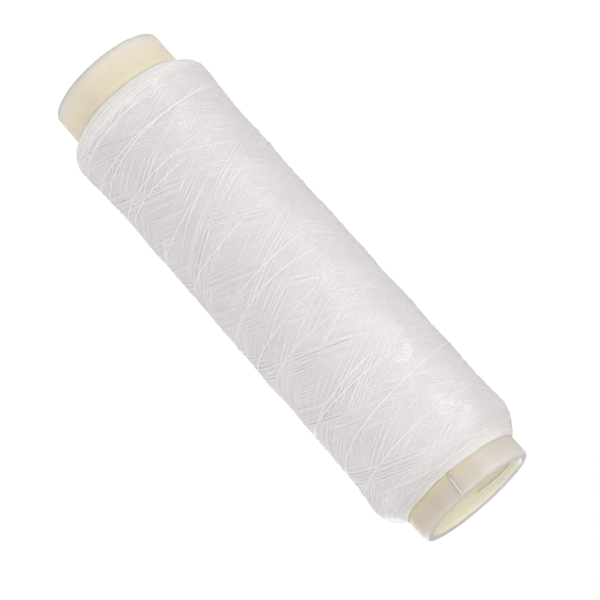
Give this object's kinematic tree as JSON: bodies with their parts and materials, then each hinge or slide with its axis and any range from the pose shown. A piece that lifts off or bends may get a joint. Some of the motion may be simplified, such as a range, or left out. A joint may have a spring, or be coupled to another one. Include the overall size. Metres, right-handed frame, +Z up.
{
  "type": "fishing line spool",
  "caption": "Open plastic tube carrying a crosswound package of thin white elastic thread, with a loose thread end laid over the upper rim into the bore.",
  "frame": {"origin": "middle of the lower rim's flat end face, on the tube's axis; the spool stands on this face", "axes": "+Z up the tube's axis towards the end where the loose thread crosses the rim; the loose thread crosses the rim on the -Y side"},
  "size_m": [0.0216, 0.0216, 0.0752],
  "materials": {
    "tube_plastic": "satin",
    "elastic_thread": "satin"
  },
  "bodies": {
    "root": {"core_tube": "tube_plastic", "thread_package": "elastic_thread", "thread_tail": "elastic_thread"}
  },
  "joints": []
}
